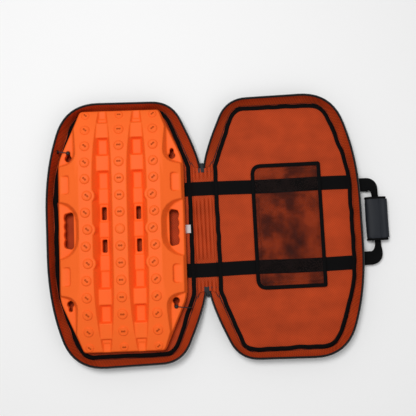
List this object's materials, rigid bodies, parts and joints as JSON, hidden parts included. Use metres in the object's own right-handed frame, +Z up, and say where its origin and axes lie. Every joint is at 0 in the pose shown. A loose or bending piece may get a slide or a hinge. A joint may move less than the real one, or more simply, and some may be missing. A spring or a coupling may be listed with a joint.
{
  "type": "tire traction mats",
  "caption": "Nested pair of studded traction boards with hand slots and keyholes, in a zip-round fabric case with a folding lid, mesh pocket and padded carry handle.",
  "frame": {"origin": "middle of the flat underside of the tray's outer panel, on the ground", "axes": "+X across the open case from the tray over the spine to the lid and its handle, +Y along the boards, +Z up"},
  "size_m": [0.9036, 0.697, 0.0728],
  "materials": {
    "moulded_orange": "satin moulded polypropylene",
    "lining_rust": "smooth woven lining",
    "shell_black": "coarse woven polyester",
    "webbing_black": "ribbed webbing",
    "mesh_dark": "open knitted mesh",
    "grip_slate": "brushed padded fabric",
    "foam_board": "dense foam sheet",
    "label_white": "blank woven label",
    "zip_metal": "black painted",
    "cord_black": "elastic cord and moulded ball"
  },
  "bodies": {
    "tray": {"tray_outer_panel": "shell_black", "tray_stiffener": "foam_board", "tray_floor_lining": "lining_rust", "tray_wall": "shell_black", "tray_wall_lining": "lining_rust", "tray_floor_binding": "webbing_black", "tray_zip": "webbing_black", "tray_strap_upper": "webbing_black", "tray_strap_lower": "webbing_black", "care_label": "label_white", "leash_loop_left": "webbing_black", "leash_loop_right": "webbing_black"},
    "spine": {"spine_panel": "shell_black", "spine_lining": "lining_rust", "spine_strap_upper": "webbing_black", "spine_strap_lower": "webbing_black", "spine_end_tab_upper": "grip_slate", "spine_end_tab_lower": "grip_slate"},
    "lid": {"lid_outer_panel": "shell_black", "lid_stiffener": "foam_board", "lid_floor_lining": "lining_rust", "lid_wall": "shell_black", "lid_wall_lining": "lining_rust", "lid_floor_binding": "webbing_black", "lid_zip": "webbing_black", "lid_strap_upper": "webbing_black", "lid_strap_lower": "webbing_black", "mesh_pocket": "mesh_dark", "pocket_binding": "webbing_black", "handle_anchor_upper": "webbing_black", "handle_anchor_lower": "webbing_black"},
    "board_low": {"board_lower": "moulded_orange"},
    "board_top": {"board_upper": "moulded_orange", "leash_cord_left": "cord_black", "leash_cord_right": "cord_black", "leash_ball_left": "cord_black", "leash_ball_right": "cord_black"},
    "handle": {"handle_webbing": "webbing_black", "grip_pad": "grip_slate", "grip_binding_upper": "webbing_black", "grip_binding_lower": "webbing_black"},
    "flap": {"grip_flap": "grip_slate"},
    "slider_upper": {"zip_slider_upper": "zip_metal"},
    "slider_lower": {"zip_slider_lower": "zip_metal"},
    "puller_upper": {"zip_puller_upper": "zip_metal"},
    "puller_lower": {"zip_puller_lower": "zip_metal"}
  },
  "joints": [
    {"name": "spine_fold", "type": "hinge", "parent": "tray", "child": "spine", "pos_m": [0.187, 0, 0.016], "axis": [0, 1, 0], "range_deg": [-90, 0]},
    {"name": "lid_fold", "type": "hinge", "parent": "spine", "child": "lid", "pos_m": [0.243, 0, 0.016], "axis": [0, 1, 0], "range_deg": [-90, 0]},
    {"name": "board_low_lift", "type": "slide", "parent": "tray", "child": "board_low", "axis": [0, 0, 1], "range_m": [0, 0.15]},
    {"name": "board_top_lift", "type": "slide", "parent": "board_low", "child": "board_top", "axis": [0, 0, 1], "range_m": [0, 0.1]},
    {"name": "handle_swing", "type": "hinge", "parent": "lid", "child": "handle", "pos_m": [0.629, 0, 0.013], "axis": [0, -1, 0], "range_deg": [-45, 50]},
    {"name": "grip_flap_open", "type": "hinge", "parent": "handle", "child": "flap", "pos_m": [0.7032, 0.006, 0.013], "axis": [0, 1, 0], "range_deg": [0, 120]},
    {"name": "slider_upper_run", "type": "slide", "parent": "spine", "child": "slider_upper", "axis": [0, 1, 0], "range_m": [0, 0.02]},
    {"name": "slider_lower_run", "type": "slide", "parent": "spine", "child": "slider_lower", "axis": [0, -1, 0], "range_m": [0, 0.02]},
    {"name": "puller_upper_swing", "type": "hinge", "parent": "slider_upper", "child": "puller_upper", "pos_m": [0.215, 0.1713, 0.0043], "axis": [1, 0, 0], "range_deg": [0, 160]},
    {"name": "puller_lower_swing", "type": "hinge", "parent": "slider_lower", "child": "puller_lower", "pos_m": [0.215, -0.1713, 0.0043], "axis": [-1, 0, 0], "range_deg": [0, 160]}
  ],
  "couplings": [
    {"joint": "lid_fold", "follows": "spine_fold", "ratio": 1}
  ]
}
